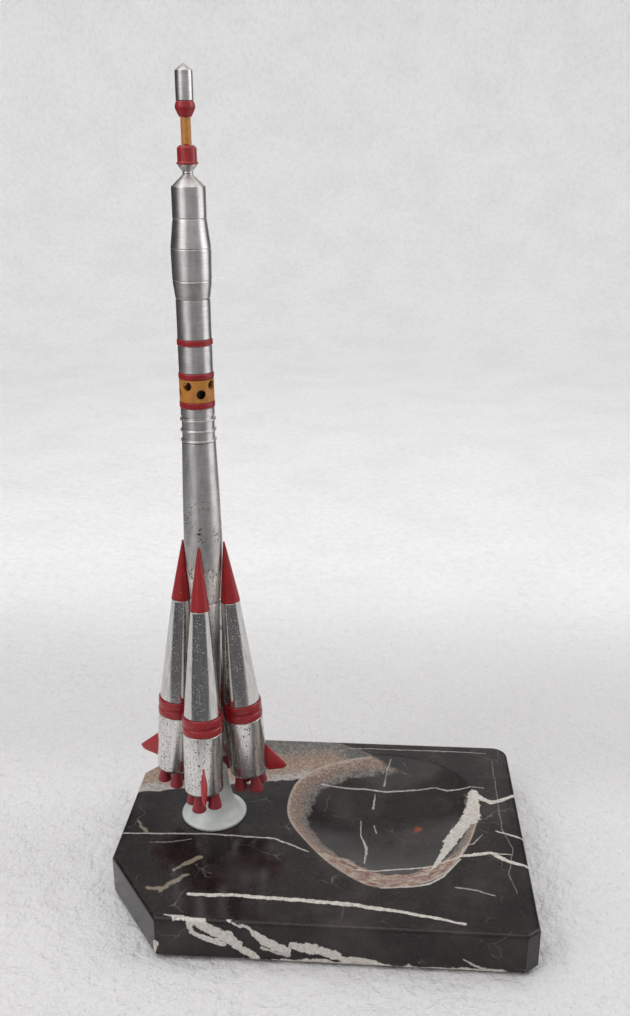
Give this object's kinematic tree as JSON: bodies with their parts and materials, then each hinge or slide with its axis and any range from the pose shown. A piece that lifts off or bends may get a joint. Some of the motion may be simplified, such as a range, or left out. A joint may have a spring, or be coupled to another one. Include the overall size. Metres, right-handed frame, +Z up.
{
  "type": "model rocket desk ornament",
  "caption": "Turned metal model rocket with leaning boosters on a plastic foot, screwed to a polished stone slab with a shallow tray hollow; the rocket turns on its screw.",
  "frame": {"origin": "centre of the slab's outline, at the underside of the pads on the table", "axes": "+X along the slab's front edge to the right, +Y towards the slab's back edge, +Z up along the rocket"},
  "size_m": [0.2, 0.147, 0.3772],
  "materials": {
    "stone": "polished dark marble with white veins and a tan layer",
    "core_metal": "satin turned, fine lathe lines, some pitting",
    "bright_metal": "polished, speckled with small pits",
    "steel": "plain machined",
    "red_enamel": "glossy crimson enamel with chipped edges",
    "ochre_enamel": "glossy ochre enamel",
    "red_plastic": "satin dark red moulding",
    "foot_plastic": "satin translucent white",
    "pad_rubber": "matt black"
  },
  "bodies": {
    "base": {"stone_slab": "stone", "pad_front_left": "pad_rubber", "pad_front_right": "pad_rubber", "pad_back_right": "pad_rubber", "pad_back_left": "pad_rubber", "washer": "steel"},
    "rocket": {"clamp_screw": "steel", "foot": "foot_plastic", "core_tail": "core_metal", "core_barrel": "core_metal", "ribbed_neck": "core_metal", "lower_band": "red_enamel", "perforated_sleeve": "ochre_enamel", "middle_band": "red_enamel", "stage_lower": "core_metal", "upper_band": "red_enamel", "stage_upper": "core_metal", "payload_fairing": "core_metal", "tower_collar": "red_enamel", "tower_rod": "ochre_enamel", "tower_bulb": "red_enamel", "tower_spire": "bright_metal", "front_booster_body": "bright_metal", "front_booster_nose": "red_enamel", "front_booster_band": "red_enamel", "front_nozzle_cluster": "red_plastic", "front_fin": "red_plastic", "front_lower_pin": "steel", "front_upper_pin": "steel", "right_booster_body": "bright_metal", "right_booster_nose": "red_enamel", "right_booster_band": "red_enamel", "right_nozzle_cluster": "red_plastic", "right_fin": "red_plastic", "right_lower_pin": "steel", "right_upper_pin": "steel", "rear_booster_body": "bright_metal", "rear_booster_nose": "red_enamel", "rear_booster_band": "red_enamel", "rear_nozzle_cluster": "red_plastic", "rear_fin": "red_plastic", "rear_lower_pin": "steel", "rear_upper_pin": "steel", "left_booster_body": "bright_metal", "left_booster_nose": "red_enamel", "left_booster_band": "red_enamel", "left_nozzle_cluster": "red_plastic", "left_fin": "red_plastic", "left_lower_pin": "steel", "left_upper_pin": "steel"}
  },
  "joints": [
    {"name": "rocket_turn", "type": "hinge", "parent": "base", "child": "rocket", "pos_m": [-0.0561, 0.004, 0.0224], "axis": [0, 0, 1], "continuous": true}
  ]
}
